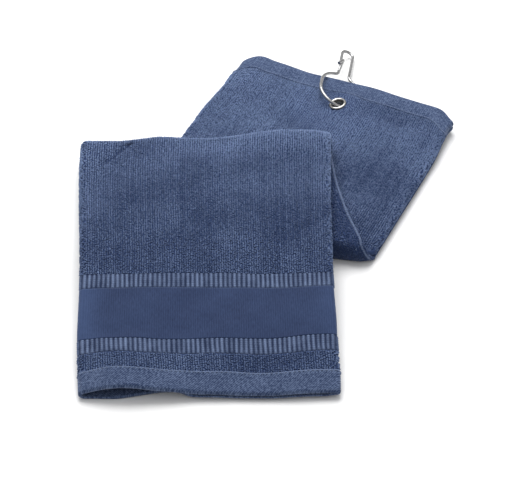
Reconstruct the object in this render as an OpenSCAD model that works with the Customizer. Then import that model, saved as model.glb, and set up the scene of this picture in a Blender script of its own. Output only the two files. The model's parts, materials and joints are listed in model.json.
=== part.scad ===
// Golf towel: folded in three lengthways, then laid in a Z of three runs, with a wire hook
// through an eyelet at its lower run's end. Millimetres, +Z up, lying on Z = 0, and the origin
// is the middle of the footprint. Each run is three plies thick.

/* [Cloth] */
// Width of the towel folded in three lengthways
strip_w = 150; // [135:1:165]
// Thickness of one ply of towelling
ply_t = 2.4; // [2.2:0.1:2.5]
// Air between two plies of one run
ply_gap = 0.1; // [0.05:0.05:0.15]
// Air between two runs that lie on each other
run_gap = 0.3; // [0.3:0.05:0.4]
// Depth of the sewn hem at both ends
hem_d = 13.5; // [12:0.5:14]

/* [Lower run] */
// Length of the lower run along its right edge
lower_len = 140; // [136:1:150]
// Lean of the lower run to the right of straight ahead, in degrees
lower_lean = 24.5; // [20:0.5:28]
// Length of the hook end that rises off the table
rise_len = 50; // [50:1:54]
// Slope of that rising end, in degrees
rise_slope = 2.5; // [2:0.1:3]
// Angle at which the bottom fold line falls to the right, in degrees
fold_fall = 6; // [4:0.5:8]

/* [Upper run] */
// Reach from the bottom fold's right corner to the top fold's axis
fold_reach = 91; // [88:1:95]
// Length of the flat part, from the top fold's axis to the drop
flat_len = 100; // [98:1:104]
// Length of terry on the drop, above the upper rib strip
drop_terry = 19.6; // [18:0.2:22]
// Length of each rib strip
rib_strip = 10.5; // [9:0.5:12]
// Length of the plain woven band between the rib strips
plain_len = 37; // [34:1:40]
// Length of terry between the lower rib strip and the hem
border_len = 12; // [10:1:14]
// Distance between two ribs
rib_pitch = 2.75; // [2.5:0.05:3.2]

/* [Eyelet] */
// Radius of the eyelet's hole
hole_r = 3.8; // [3.8:0.05:4]
// Radius of the eyelet's flange and of its washer
flange_r = 5.5; // [5.4:0.1:5.8]
// Distance from the hem's edge to the middle of the eyelet
eyelet_inset = 20; // [20:0.5:21]
// Height of the middle of the eyelet
eyelet_z = 8.7; // [8.7:0.1:9]
// Tilt of the eyelet, whose right side rests on the hook's wire, in degrees
eyelet_tilt = 12; // [11:0.5:14]

/* [Hook] */
// Radius of the hook's wire
wire_r = 1; // [0.9:0.05:1]
// Radius of the large loop, to the middle of the wire
loop_r = 13.5; // [13:0.1:13.6]
// Length of the large loop's straight sides
loop_side = 6; // [5.5:0.1:6.4]
// Radius of the bends that lead from the large loop into the neck
shoulder_r = 4; // [3.8:0.1:4.2]
// Half of the neck's width, and the radius of the small loop
neck_r = 3.8; // [3.7:0.1:3.8]
// Length of the whole hook, to the middle of the wire
hook_len = 61.1; // [60:0.1:62]
// Direction of the hook, to the right of straight ahead, in degrees
hook_yaw = 8; // [6:0.5:10]
// Tilt of the hook about its long axis, its left half high, in degrees
hook_tilt = 26; // [25.5:0.1:26.5]
// Fall of the hook towards its small loop, in degrees
hook_fall = 4.5; // [4.3:0.1:4.7]
// Distance from the middle of the eyelet to the wire that passes it
hook_offset = 1.6; // [1.4:0.1:1.7]

/* [Hidden] */
$fn = 64;
far = 500;                                  // longer than the towel
ply_step = ply_t + ply_gap;
run_h = 3 * ply_t + 2 * ply_gap;            // height of one run
run_step = run_h + run_gap;
left_r = run_h / 2;                         // fold from the front ply to the back ply
right_r = ply_t + ply_gap / 2;              // fold from the front ply to the inner ply
inner_edge = 8;                             // the inner ply's raw edge, from the left side
back_edge = 1.5;                            // the back ply's selvedge, from the right side
selvedge_w = 3;

// Plan: the layout's own origin is the bottom fold's right corner
middle_lean = lower_lean - 2 * fold_fall;   // the fold line halves the angle
fold_skew = lower_lean - fold_fall;
fold_len = strip_w / cos(fold_skew);
upper_right = -fold_reach * tan(middle_lean) - (strip_w / cos(middle_lean) - strip_w) / 2;
knee_y = fold_reach - flat_len;
drop_len = drop_terry + 2 * rib_strip + plain_len + border_len + hem_d;
upper_z = 2 * run_step;                     // underside of the upper run
drop_slope = asin(upper_z / drop_len);
knee_s = lower_len - rise_len;              // where the lower run starts to rise
hem_s = rise_len - hem_d;                   // start of the hem along the rising end

// Eyelet and hook
eyelet_x = -strip_w / 2;
eyelet_s = lower_len - eyelet_inset;
eyelet_at = [eyelet_x * cos(lower_lean) + eyelet_s * sin(lower_lean),
    eyelet_s * cos(lower_lean) - eyelet_x * sin(lower_lean)];
barrel_t = 0.45;
barrel_r = hole_r + barrel_t;
pinch_t = 0.5;                              // the cloth under the flange
lip_r = (flange_r - hole_r) / 2;
surround_r = 10;
surround_t = 2.4;
upper_centre = loop_r + loop_side;
shoulder_q = upper_centre + sqrt(pow(loop_r + shoulder_r, 2) - pow(neck_r + shoulder_r, 2));
shoulder_a = atan2(shoulder_q - upper_centre, neck_r + shoulder_r);
small_centre = hook_len - neck_r;
gate_q = shoulder_q + 1;                    // where the gate starts to bend
gate_gap = 0.3;
gate_top = [-3.2, shoulder_q + 10.4, 2.5];
gate_tip = [-5.6, shoulder_q + 5.4, 2.7];
latch_q = shoulder_q + 9.4;                 // free end of the small loop

// Middle of the footprint, which becomes the origin
x_low = -fold_reach * tan(middle_lean) - strip_w / cos(middle_lean);
x_high = lower_len * sin(lower_lean);
y_low = knee_y - drop_len * cos(drop_slope) - run_h * sin(drop_slope);
apex_reach = small_centre - hook_offset;
y_high = eyelet_at[1] + apex_reach * cos(hook_yaw) * cos(hook_fall) + wire_r
    + neck_r * sqrt(pow(cos(hook_yaw) * cos(hook_fall), 2)
        + pow(sin(hook_yaw) * cos(hook_tilt) + cos(hook_yaw) * sin(hook_fall) * sin(hook_tilt), 2));
centre = [(x_low + x_high) / 2, (y_low + y_high) / 2];

// ---- cross-sections: x across, with 0 at the right edge, and y up ----

module front_section(thickness = ply_t) {
    translate([left_r - strip_w, 2 * ply_step]) square([strip_w - left_r - right_r, thickness]);
}

module inner_section() {
    translate([inner_edge - strip_w, ply_step]) square([strip_w - inner_edge - right_r, ply_t]);
}

module back_section(selvedge = 0) {
    translate([left_r - strip_w, 0]) square([strip_w - left_r - back_edge - selvedge, ply_t]);
}

module selvedge_section() {
    translate([-back_edge - selvedge_w, 0]) square([selvedge_w, ply_t / 2]);
}

module left_fold_section() {
    translate([left_r - strip_w, left_r]) difference() {
        circle(left_r);
        circle(left_r - ply_t);
        translate([0, -far / 2]) square(far);
    }
}

module right_fold_section() {
    translate([-right_r, run_h - right_r]) difference() {
        circle(right_r);
        translate([-far, -far / 2]) square(far);
    }
}

module side_fold_sections() {
    left_fold_section();
    right_fold_section();
}

module hem_section() {
    front_section();
    inner_section();
    back_section();
    side_fold_sections();
}

// ---- sweeps along a run, whose own y runs away from its first fold ----

module sweep(from, to) {
    translate([0, to, 0]) rotate([90, 0, 0]) linear_extrude(to - from) children();
}

// A run that bends at y = 0: from -back to 0 it is level, then it follows the slope
module bent(back, ahead, slope) {
    difference() {
        sweep(-back, run_h) children();
        rotate([slope / 2, 0, 0]) translate([-far, 0, -far]) cube(2 * far);
    }
    rotate([slope, 0, 0]) difference() {
        sweep(-run_h, ahead) children();
        rotate([-slope / 2, 0, 0]) translate([-far, -2 * far, -far]) cube(2 * far);
    }
}

module in_frame() {
    translate([-centre[0], -centre[1], 0]) children();
}

// ---- lower run ----

module lower_place() {
    rotate([0, 0, -lower_lean]) children();
}

// Everything on the near side of the bottom fold line
module before_fold_line() {
    rotate([0, 0, -fold_fall]) translate([-far, -2 * far, -far]) cube(2 * far);
}

module at_eyelet() {
    translate([eyelet_at[0], eyelet_at[1], eyelet_z]) rotate([0, 0, -hook_yaw])
        rotate([0, -eyelet_tilt, 0]) children();
}

// Room for the pinched cloth, and under the towel for the half of the hook that lies there
module hook_room() {
    room_r = 30;
    room_h = 4.4;
    cone_r = 15.5;
    cone_top_r = 6;
    cone_top = 8.6;
    at_eyelet() cylinder(h = 4 * run_h, r = surround_r + 0.05, center = true);
    translate([eyelet_at[0], eyelet_at[1], -1]) cylinder(h = room_h + 1, r = room_r);
    translate([eyelet_at[0], eyelet_at[1], room_h])
        cylinder(h = cone_top - room_h, r1 = cone_r, r2 = cone_top_r);
}

module lower_run() {
    in_frame() difference() {
        lower_place() translate([0, knee_s, 0])
            bent(knee_s + fold_len, hem_s, rise_slope) children();
        before_fold_line();
        hook_room();
    }
}

module lower_run_front_ply() { color("#50648c") lower_run() front_section(); }
module lower_run_inner_ply() { color("#465a82") lower_run() inner_section(); }
module lower_run_back_ply() { color("#465a82") lower_run() back_section(); }
module lower_run_side_folds() { color("#50648c") lower_run() side_fold_sections(); }

module rising_end() {
    lower_place() translate([0, knee_s, 0]) rotate([rise_slope, 0, 0]) children();
}

module hook_end_hem() {
    color("#5c6f96") in_frame() difference() {
        rising_end() sweep(hem_s, rise_len) hem_section();
        hook_room();
    }
}

// A row of stitches across the front ply, leaving out those nearer than keep_off to skip_x
stitch = [1.9, 0.6, 0.3];
stitch_pitch = 2.6;
stitch_line = 1.2;                          // from the hem's inner edge
module stitches(skip_x, keep_off) {
    count = floor((strip_w - 2 * left_r) / stitch_pitch);
    for (i = [0 : count - 1]) {
        x = -right_r - (i + 1) * stitch_pitch;
        if (abs(x + stitch[0] / 2 - skip_x) > keep_off)
            translate([x, stitch_line, run_h]) cube(stitch);
    }
}

module hook_end_stitching() {
    color("#7d8fb4") in_frame() rising_end() translate([0, hem_s, 0])
        stitches(eyelet_x, surround_r);
}

// The three plies pressed together around the eyelet
module eyelet_surround() {
    color("#50648c") in_frame() at_eyelet() difference() {
        translate([0, 0, pinch_t / 2 - surround_t]) cylinder(h = surround_t, r = surround_r);
        cylinder(h = 2 * run_h, r = barrel_r + 0.05, center = true);
        translate([0, 0, -pinch_t / 2 - run_h]) cylinder(h = run_h, r = flange_r + 0.1);
    }
}

// ---- bottom fold, from the lower run up into the middle run ----

module fold_rings(sweep_angle) {
    for (ply = [0 : 2]) {
        inside = run_gap / 2 + ply * ply_step;
        rotate_extrude(angle = sweep_angle) translate([inside, 0]) square([ply_t, fold_len]);
    }
}

module bottom_fold() {
    color("#465a82") in_frame() rotate([0, 0, -fold_fall])
        translate([-fold_len, 0, run_h + run_gap / 2]) rotate([90, 0, 90]) rotate([0, 0, 90])
            fold_rings(180);
}

// ---- middle run, back up ----

module middle_run() {
    in_frame() difference() {
        rotate([0, 0, middle_lean]) translate([0, 0, run_step + run_h]) mirror([0, 0, 1])
            sweep(-far / 2, far / 2) children();
        before_fold_line();
        translate([-far, fold_reach, -far]) cube(2 * far);
    }
}

module middle_run_front_ply() { color("#3c4e74") middle_run() front_section(); }
module middle_run_inner_ply() { color("#3c4e74") middle_run() inner_section(); }
module middle_run_back_ply() { color("#3c4e74") middle_run() back_section(selvedge_w); }
module middle_run_side_folds() { color("#3c4e74") middle_run() side_fold_sections(); }
module middle_run_selvedge() { color("#6a7ca2") middle_run() selvedge_section(); }

// ---- top fold: the roll that the upper run turns about ----

module top_fold() {
    roll_sweep = 270;                       // from the middle run's end to over the roll
    color("#50648c") in_frame()
        translate([upper_right - strip_w, fold_reach, upper_z - run_gap / 2])
            rotate([90, 0, 90]) rotate([0, 0, -90]) scale_to_width() fold_rings(roll_sweep);
}

// Cuts the rings to the upper run's width
module scale_to_width() {
    intersection() {
        children();
        cylinder(h = strip_w, r = 2 * run_h);
    }
}

// ---- upper run, whose own y runs toward the free end ----

module upper_place() {
    in_frame() translate([upper_right, knee_y, upper_z]) mirror([0, 1, 0]) children();
}

// The upper run starts just outside the roll, so that it can turn about it
module roll_room() {
    in_frame() translate([upper_right - far, fold_reach, upper_z - run_gap / 2])
        rotate([0, 90, 0]) cylinder(h = 2 * far, r = run_h + 1.5 * run_gap);
}

module upper_run(end) {
    difference() {
        upper_place() bent(flat_len, end, -drop_slope) children();
        roll_room();
    }
}

module on_drop() {
    upper_place() rotate([-drop_slope, 0, 0]) children();
}

hem_start = drop_len - hem_d;
rib_1 = drop_terry;
band_start = rib_1 + rib_strip;
rib_2 = band_start + plain_len;
border_start = rib_2 + rib_strip;

module upper_run_front_ply() { color("#46597f") upper_run(drop_terry) front_section(); }
module upper_run_inner_ply() { color("#3c4e74") upper_run(hem_start) inner_section(); }
module upper_run_back_ply() { color("#3c4e74") upper_run(hem_start) back_section(); }
module upper_run_side_folds() { color("#46597f") upper_run(hem_start) side_fold_sections(); }

// A strip of round ribs that run along the towel
module rib_section() {
    rib_r = 1.1;
    ground = ply_t - rib_r;
    count = floor((strip_w - left_r - right_r) / rib_pitch);
    front_section(ground);
    for (i = [0 : count - 1])
        translate([-right_r - (i + 0.5) * rib_pitch, 2 * ply_step + ground]) circle(rib_r);
}

module rib_strip_at(start) { on_drop() sweep(start, start + rib_strip) rib_section(); }

module upper_rib_strip() { color("#7486ab") rib_strip_at(rib_1); }
module plain_band() { color("#3b4f78") on_drop() sweep(band_start, rib_2) front_section(ply_t - 0.4); }
module lower_rib_strip() { color("#7486ab") rib_strip_at(rib_2); }
module border_terry() { color("#46597f") on_drop() sweep(border_start, hem_start) front_section(); }
module free_end_hem() { color("#5c6f96") on_drop() sweep(hem_start, drop_len) hem_section(); }

module free_end_stitching() {
    color("#7d8fb4") on_drop() translate([0, hem_start, 0]) stitches(far, 0);
}

// ---- eyelet ----

module eyelet() {
    flare_r = barrel_r + 0.6;
    flare_t = 0.3;
    flare_z = -1.2;
    color("silver") in_frame() at_eyelet() rotate_extrude() {
        translate([hole_r, flare_z]) square([barrel_t, pinch_t - flare_z]);
        translate([hole_r, flare_z]) square([flare_r - hole_r, flare_t]);
        intersection() {
            translate([hole_r + lip_r, pinch_t / 2]) circle(lip_r);
            translate([hole_r, pinch_t / 2]) square(2 * lip_r);
        }
    }
}

module eyelet_washer() {
    washer_t = 0.6;
    color("silver") in_frame() at_eyelet() rotate_extrude()
        translate([barrel_r + 0.02, -0.02 - pinch_t / 2 - washer_t])
            square([flange_r - barrel_r - 0.02, washer_t]);
}

// ---- hook, drawn in its own plane: x across, y towards the small loop ----

module hook_place() {
    in_frame() translate([eyelet_at[0], eyelet_at[1], eyelet_z]) rotate([0, 0, -hook_yaw])
        rotate([-hook_fall, 0, 0]) rotate([0, hook_tilt, 0])
            translate([0, -hook_offset, 0]) children();
}

module wire_arc(at, radius, from, to) {
    translate([at[0], at[1], 0]) rotate([0, 0, from]) rotate_extrude(angle = to - from)
        translate([radius, 0]) circle(wire_r);
}

module wire_leg(x, from, to) {
    translate([x, from, 0]) rotate([-90, 0, 0]) cylinder(h = to - from, r = wire_r);
}

// A bead just proud of the wire, which joins two stretches that meet end to end
module wire_joint(x, y) {
    translate([x, y, 0]) sphere(wire_r * 1.02);
}

module wire_between(a, b) {
    d = b - a;
    translate(a) rotate([0, acos(d[2] / norm(d)), atan2(d[1], d[0])])
        cylinder(h = norm(d), r = wire_r);
}

module hook_wire() {
    color("gainsboro") hook_place() {
        wire_arc([0, loop_r], loop_r, 180, 360);
        wire_leg(loop_r, loop_r, upper_centre);
        wire_leg(-loop_r, loop_r, upper_centre);
        wire_arc([0, upper_centre], loop_r, 0, shoulder_a);
        wire_arc([0, upper_centre], loop_r, 180 - shoulder_a, 180);
        wire_arc([neck_r + shoulder_r, shoulder_q], shoulder_r, 180, 180 + shoulder_a);
        wire_arc([-neck_r - shoulder_r, shoulder_q], shoulder_r, -shoulder_a, 0);
        wire_leg(neck_r, shoulder_q, small_centre);
        wire_leg(-neck_r, shoulder_q, gate_q - gate_gap / 2);
        wire_arc([0, small_centre], neck_r, 0, 180);
        wire_leg(-neck_r, latch_q, small_centre);
        for (side = [-1, 1]) {
            wire_joint(side * loop_r, loop_r);
            wire_joint(side * loop_r, upper_centre);
            wire_joint(side * loop_r * cos(shoulder_a), upper_centre + loop_r * sin(shoulder_a));
            wire_joint(side * neck_r, shoulder_q);
            wire_joint(side * neck_r, small_centre);
        }
    }
}

// The sprung end of the wire, which laps over the small loop's free end
module hook_gate() {
    knuckle_r = wire_r * 1.04;
    color("gainsboro") hook_place() {
        wire_between([-neck_r, gate_q + gate_gap / 2, 0], gate_top);
        translate(gate_top) sphere(knuckle_r);
        wire_between(gate_top, gate_tip);
    }
}

lower_run_front_ply();
lower_run_inner_ply();
lower_run_back_ply();
lower_run_side_folds();
hook_end_hem();
hook_end_stitching();
eyelet_surround();
bottom_fold();
middle_run_front_ply();
middle_run_inner_ply();
middle_run_back_ply();
middle_run_side_folds();
middle_run_selvedge();
top_fold();
upper_run_front_ply();
upper_run_inner_ply();
upper_run_back_ply();
upper_run_side_folds();
upper_rib_strip();
plain_band();
lower_rib_strip();
border_terry();
free_end_hem();
free_end_stitching();
eyelet();
eyelet_washer();
hook_wire();
hook_gate();
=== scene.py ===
"""Looks of a golf towel: folded in three lengthways, then laid in a Z of three runs.

Every cloth surface is one function of (u, t, off): u goes round the folded strip's section,
from the back ply's selvedge by the left fold, the front ply and the right fold to the inner
ply's raw edge; t goes along the towel; off is the distance outwards from the ply's middle.
Sizes are in millimetres, and meshes are scaled to metres when they are made.
"""

import json
import math

import bpy
import numpy as np
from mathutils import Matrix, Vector


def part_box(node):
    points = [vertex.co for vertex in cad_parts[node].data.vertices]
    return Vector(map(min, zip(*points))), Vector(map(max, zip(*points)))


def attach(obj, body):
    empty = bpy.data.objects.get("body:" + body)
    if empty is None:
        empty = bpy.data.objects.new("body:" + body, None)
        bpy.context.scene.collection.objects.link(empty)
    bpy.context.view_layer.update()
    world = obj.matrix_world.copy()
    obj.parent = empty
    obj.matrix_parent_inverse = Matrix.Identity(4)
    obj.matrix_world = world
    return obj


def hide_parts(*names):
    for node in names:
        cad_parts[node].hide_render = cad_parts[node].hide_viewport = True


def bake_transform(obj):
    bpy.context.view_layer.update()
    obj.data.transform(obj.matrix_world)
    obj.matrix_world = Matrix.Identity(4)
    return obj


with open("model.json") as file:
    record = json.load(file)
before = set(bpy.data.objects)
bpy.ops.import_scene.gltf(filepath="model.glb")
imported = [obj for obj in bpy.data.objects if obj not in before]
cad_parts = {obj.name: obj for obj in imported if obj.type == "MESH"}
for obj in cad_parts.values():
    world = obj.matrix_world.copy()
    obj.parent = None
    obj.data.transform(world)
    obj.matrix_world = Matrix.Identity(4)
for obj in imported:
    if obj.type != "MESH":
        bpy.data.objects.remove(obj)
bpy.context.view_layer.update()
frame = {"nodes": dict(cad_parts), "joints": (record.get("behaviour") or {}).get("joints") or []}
MM = 0.001
JOINTS = {joint["name"]: joint for joint in frame["joints"]}


def node_box(name):
    """A CAD node's lowest and highest corners, in millimetres."""
    low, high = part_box(name)
    return np.array(low) / MM, np.array(high) / MM


# ---- sizes that the frame gives ----

hem_low, hem_high = node_box("free_end_hem")
side_low, side_high = node_box("middle_run_side_folds")
fold_low, fold_high = node_box("bottom_fold")
STRIP = hem_high[0] - hem_low[0]            # width of the towel folded in three
RUN_H = side_high[2] - side_low[2]          # height of one run of three plies
RUN_GAP = side_low[2] - RUN_H
STEP = RUN_H + RUN_GAP
PLY_GAP = 0.1
PLY = (RUN_H - 2 * PLY_GAP) / 3
UPPER_RIGHT = hem_high[0]                   # right edge of the upper run
AXIS = np.array(JOINTS["upper_run_lift"]["pos_m"]) / MM
EYELET = np.array(JOINTS["hook_swivel"]["pos_m"]) / MM

# ---- the way the towel is laid, as in the design ----

LOWER_LEAN = math.radians(24.5)             # the lower run, to the right of straight ahead
FOLD_FALL = math.radians(6)                 # the bottom fold line, falling to the right
MIDDLE_LEAN = LOWER_LEAN - 2 * FOLD_FALL    # the middle run, to the left
SKEW = LOWER_LEAN - FOLD_FALL
LOWER_LEN = 140.0                           # along the lower run's right edge
RISE_LEN = 50.0                             # its last stretch, which rises to the eyelet
RISE_SLOPE = math.radians(2.5)
FLAT_LEN = 100.0                            # the upper run, from the top fold to its drop
HEM = 13.5
RIB_STRIP = 10.5
RIB_PITCH = 2.75
PLAIN = 37.0
DROP_TERRY = 19.6
BORDER = 12.0
EYELET_TILT = math.radians(12)
HOOK_YAW = math.radians(8)

CORNER = np.array([fold_high[0], fold_low[1] + STEP * math.cos(FOLD_FALL)])
LINE = np.array([math.cos(FOLD_FALL), -math.sin(FOLD_FALL)])      # along the bottom fold
AWAY = np.array([math.sin(FOLD_FALL), math.cos(FOLD_FALL)])       # square to it
LOWER_ACROSS = np.array([math.cos(LOWER_LEAN), -math.sin(LOWER_LEAN)])
LOWER_ALONG = np.array([math.sin(LOWER_LEAN), math.cos(LOWER_LEAN)])
MIDDLE_ALONG = np.array([-math.sin(MIDDLE_LEAN), math.cos(MIDDLE_LEAN)])

# ---- the folded strip's section ----

LEFT_R = RUN_H / 2
RIGHT_R = PLY + PLY_GAP / 2
LEFT_MID = LEFT_R - PLY / 2                 # radii to the middle of the ply
RIGHT_MID = RIGHT_R - PLY / 2
BACK_EDGE = 1.5                             # how far the outer third stops short of the fold
INNER_EDGE = 8.0                            # how far the inner third does
SELVEDGE = 0.9                              # its width
U_BACK = STRIP - LEFT_R - BACK_EDGE
U_LEFT = U_BACK + math.pi * LEFT_MID
U_FRONT = U_LEFT + STRIP - LEFT_R - RIGHT_R
U_RIGHT = U_FRONT + math.pi * RIGHT_MID
U_INNER = U_RIGHT + STRIP - RIGHT_R - INNER_EDGE

# ---- the cloth's own thickness, measured from the ply's middle ----

GROUND = 0.35                               # terry's ground weave, under its pile
PILE_TOP = 1.3
UNDER = 1.1                                 # the ply's inner face
HEM_TOP = 1.15
RIB_LOW = 0.35
RIB_HIGH = 1.25
BAND_TOP = 0.75


def ease(value):
    """Smoothly from 0 to 1 as value goes from 0 to 1."""
    value = np.clip(value, 0, 1)
    return value * value * (3 - 2 * value)


def hump(value, middle, width):
    """1 where value is at the middle, fading to 0 on both sides."""
    return np.exp(-((value - middle) / width) ** 2)


WAVE_COUNT = 5
WAVE_GAIN = 1.4                             # brings the mean of the waves back up to about 1


def waves(x, y, length, seed):
    """Smooth uneven swells of about the given length, from about -1 to 1."""
    rng = np.random.default_rng(seed)
    total = 0.0 * x
    for _ in range(WAVE_COUNT):
        turn = rng.uniform(0, math.tau)
        pitch = length * rng.uniform(0.75, 1.6)
        total = total + np.sin((x * math.cos(turn) + y * math.sin(turn)) * math.tau / pitch
                               + rng.uniform(0, math.tau))
    return total / WAVE_COUNT * WAVE_GAIN


def section(u):
    """The ply's middle (x from the right edge, height) and outward normal at u."""
    left = np.clip((u - U_BACK) / LEFT_MID, 0, math.pi)
    right = np.clip((u - U_FRONT) / RIGHT_MID, 0, math.pi)
    parts = [u < U_BACK, u < U_LEFT, u < U_FRONT, u < U_RIGHT, u >= U_RIGHT]
    low, mid, top = PLY / 2, RUN_H - RIGHT_R - RIGHT_MID, RUN_H - PLY / 2
    x = np.select(parts, [-BACK_EDGE - u, LEFT_R - STRIP - LEFT_MID * np.sin(left),
                          LEFT_R - STRIP + u - U_LEFT, -RIGHT_R + RIGHT_MID * np.sin(right),
                          -RIGHT_R - (u - U_RIGHT)])
    h = np.select(parts, [low + 0 * u, LEFT_R - LEFT_MID * np.cos(left), top + 0 * u,
                          RUN_H - RIGHT_R + RIGHT_MID * np.cos(right), mid + 0 * u])
    nx = np.select(parts, [0 * u, -np.sin(left), 0 * u, np.sin(right), 0 * u])
    nh = np.select(parts, [0 * u - 1, -np.cos(left), 0 * u + 1, np.cos(right), 0 * u - 1])
    return x, h, nx, nh


INNER_SHARE = 0.55                          # of the front ply's rise, on the ply folded under it


def on_top(u):
    """How far a point takes part in the front ply's own rise: 0 on the back ply, 1 on the front."""
    left = np.clip((u - U_BACK) / (U_LEFT - U_BACK), 0, 1)
    right = np.clip((u - U_FRONT) / (U_RIGHT - U_FRONT), 0, 1)
    return (1 - np.cos(math.pi * left)) / 2 * (1 - (1 - INNER_SHARE) * right)


def lifted(u, off):
    """The section with a distance outwards added."""
    x, h, nx, nh = section(u)
    return x + nx * off, h + nh * off


# ---- where each run lies ----
# These functions draw the towel's own unevenness. x runs from the right edge, negative to the
# left, and t as each run says. A term is a height in millimetres times hump(place, middle, width)
# or ease((place - start) / length). The numbered waves are (place, place, length, seed).

FOLD_SPLAY = 2.0                            # how far the bottom fold's two corners part


def fold_in(x):
    """The bottom fold's right corner is rounded: how far it is pulled in from its sharp line."""
    return 2.4 + 3.4 * hump(x, 0, 7.0)


def lower_edge_x(y):
    """World x of the lower run's left edge at world y."""
    start = CORNER - STRIP / math.cos(SKEW) * LINE
    return start[0] + (y - start[1]) * math.tan(LOWER_LEAN)


def settle(x, y, z):
    """The cloth above the table sinks where the lower run isn't under it."""
    sink = 5.2 * ease((lower_edge_x(y) - x) / 34)
    return np.maximum(z - sink * ease((z - 1) / 6), 0.0)


def hem_line(x):
    """How far the hook end's edge stands out: it waves, and both corners are rounded off."""
    wave = 2.9 - 1.5 * hump(x, -108, 14) + 1.6 * hump(x, -138, 6)
    corners = 7.0 * hump(x, -STRIP, 5) + 9.5 * hump(x, 0, 9)
    return wave - corners


def lower_outline(x, t):
    """The lower run's edges aren't straight: how far a point moves to the right."""
    across = -x / STRIP
    right = -0.7 - 2.0 * ease((t - 97) / 32) + 1.4 * ease((t - 126) / 10)
    left = -2.6 * ease((112 - t) / 30) + 1.6 * ease((t - 118) / 12)
    return right * (1 - across) + left * across


def seam_dip(x, t):
    """The terry draws down beside the hem, from the eyelet to the right."""
    along = ease((x + 74) / 14) * (1 - ease((x + 24) / 18))
    return 1.7 * along * hump(t, LOWER_LEN - HEM - 9, 6.5)


EDGE_RISE = 1.1 * RISE_LEN * math.sin(RISE_SLOPE)


def lower_run(u, t, off):
    """The lower run: t is the distance along it from the bottom fold's right corner."""
    x, h = lifted(u, off)
    top = on_top(u)
    h = h + top * (0.7 * waves(x, t, 56, 3) + 0.2 * waves(x, t, 19, 4) - seam_dip(x, t))
    t = t + ease((t - (LOWER_LEN - 45)) / 34) * hem_line(x)
    x = x + lower_outline(x, t)
    rise = EDGE_RISE * ease((t - (LOWER_LEN - RISE_LEN - 12)) / 60)
    place = CORNER + x[..., None] * LOWER_ACROSS + t[..., None] * LOWER_ALONG
    px, py, pz = at_eyelet(place[..., 0], place[..., 1], h, rise)
    return np.stack([px, py, pz], -1)


ROOM_FLOOR = 4.7                            # height of the cloth over the hook's hidden half
ROOM_R = 27.0                               # and how far round the eyelet it stays so high
ROOM_FADE = 9.0
PINCH_R = 6.0                               # the plies are pressed together as far out as this
PINCH_T = 2.0
FLANGE_GAP = 0.1
GATHER_R = 17.0                             # and are flat again from here on
HOLE_R = 4.4
HOLE_CLEAR = 4.0                            # the cloth comes no closer to the hole's middle
TUFTS_CLEAR = 5.6                           # and its tufts no closer than this


def at_eyelet(x, y, h, rise):
    """Opens the eyelet's hole, presses the plies together round it and lifts them off the hook."""
    dx, dy = x - EYELET[0], y - EYELET[1]
    r = np.maximum(np.hypot(dx, dy), 1e-6)
    open_r = HOLE_R + r * (1 - HOLE_R / GATHER_R)
    grow = np.where(r < GATHER_R, open_r / r, 1.0)
    px, py = EYELET[0] + dx * grow, EYELET[1] + dy * grow
    r = r * grow
    side = (px - EYELET[0]) * math.cos(HOOK_YAW) - (py - EYELET[1]) * math.sin(HOOK_YAW)
    plane = EYELET[2] + side * math.tan(EYELET_TILT) - FLANGE_GAP
    pinch = 1 - ease((r - PINCH_R) / (GATHER_R - PINCH_R))
    room = 1 - ease((r - ROOM_R) / ROOM_FADE)
    top = RUN_H + rise
    floor = rise + room * np.maximum(ROOM_FLOOR - rise, 0)
    share = h / RUN_H
    free = floor + share * (top - floor)
    pressed = plane + (share - 1) * PINCH_T
    return px, py, free * (1 - pinch) + pressed * pinch


def bottom_fold(u, t, off):
    """The bottom fold: t is the angle, from 0 at the lower run to pi at the middle run."""
    x, h = lifted(u, off)
    r = STEP - RUN_GAP / 2 - h
    bulge = 0.72 - 0.54 * ease(-x / 26)
    share = (1 - np.cos(t)) / 2
    x = x + lower_outline(x, 0 * x) * (1 - share) + middle_outline(x, 0 * x) * share
    along = x / math.cos(SKEW) + FOLD_SPLAY * np.cos(t)
    place = (CORNER + along[..., None] * LINE
             + (fold_in(x) - r * bulge * np.sin(t))[..., None] * AWAY)
    z = STEP - RUN_GAP / 2 - r * np.cos(t)
    return np.stack([place[..., 0], place[..., 1], z], -1)


def middle_outline(x, t):
    """The middle run's right edge bows in: how far a point moves to the right."""
    across = -x / STRIP
    right = -4.1 + 2.1 * t - 2.6 * np.sin(math.pi * np.clip(t, 0, 1))
    left = -2.6 + 0.8 * t
    return right * (1 - across) + left * across


def middle_run(u, t, off):
    """The middle run, lying on its front: t goes from 0 at the bottom fold to 1 at the top one."""
    x, h = lifted(u, off)
    selvedge = 0.5 * hump(u, 1.5, 5) * (u < 40) * np.sin(t * 17)
    h = h - (1 - on_top(u)) * (u < U_BACK) * (0.35 * waves(x, t * 90, 40, 8) + selvedge)
    x = x + middle_outline(x, t)
    along = x / math.cos(SKEW) - FOLD_SPLAY
    start = CORNER + along[..., None] * LINE + fold_in(x)[..., None] * AWAY
    length = (AXIS[1] - start[..., 1]) / math.cos(MIDDLE_LEAN)
    place = start + (t * length)[..., None] * MIDDLE_ALONG
    z = 2 * STEP - RUN_GAP - h
    return np.stack([place[..., 0], place[..., 1], settle(place[..., 0], place[..., 1], z)], -1)


def top_puff(x, near):
    """The rise of the cloth at the right end of the top fold, fading away from it."""
    rise = 2.7 * ease((x + 62) / 34) * (1 - 0.6 * ease((x + 12) / 12))
    return near * (rise - 2.4 * hump(x, -80, 24))


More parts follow.
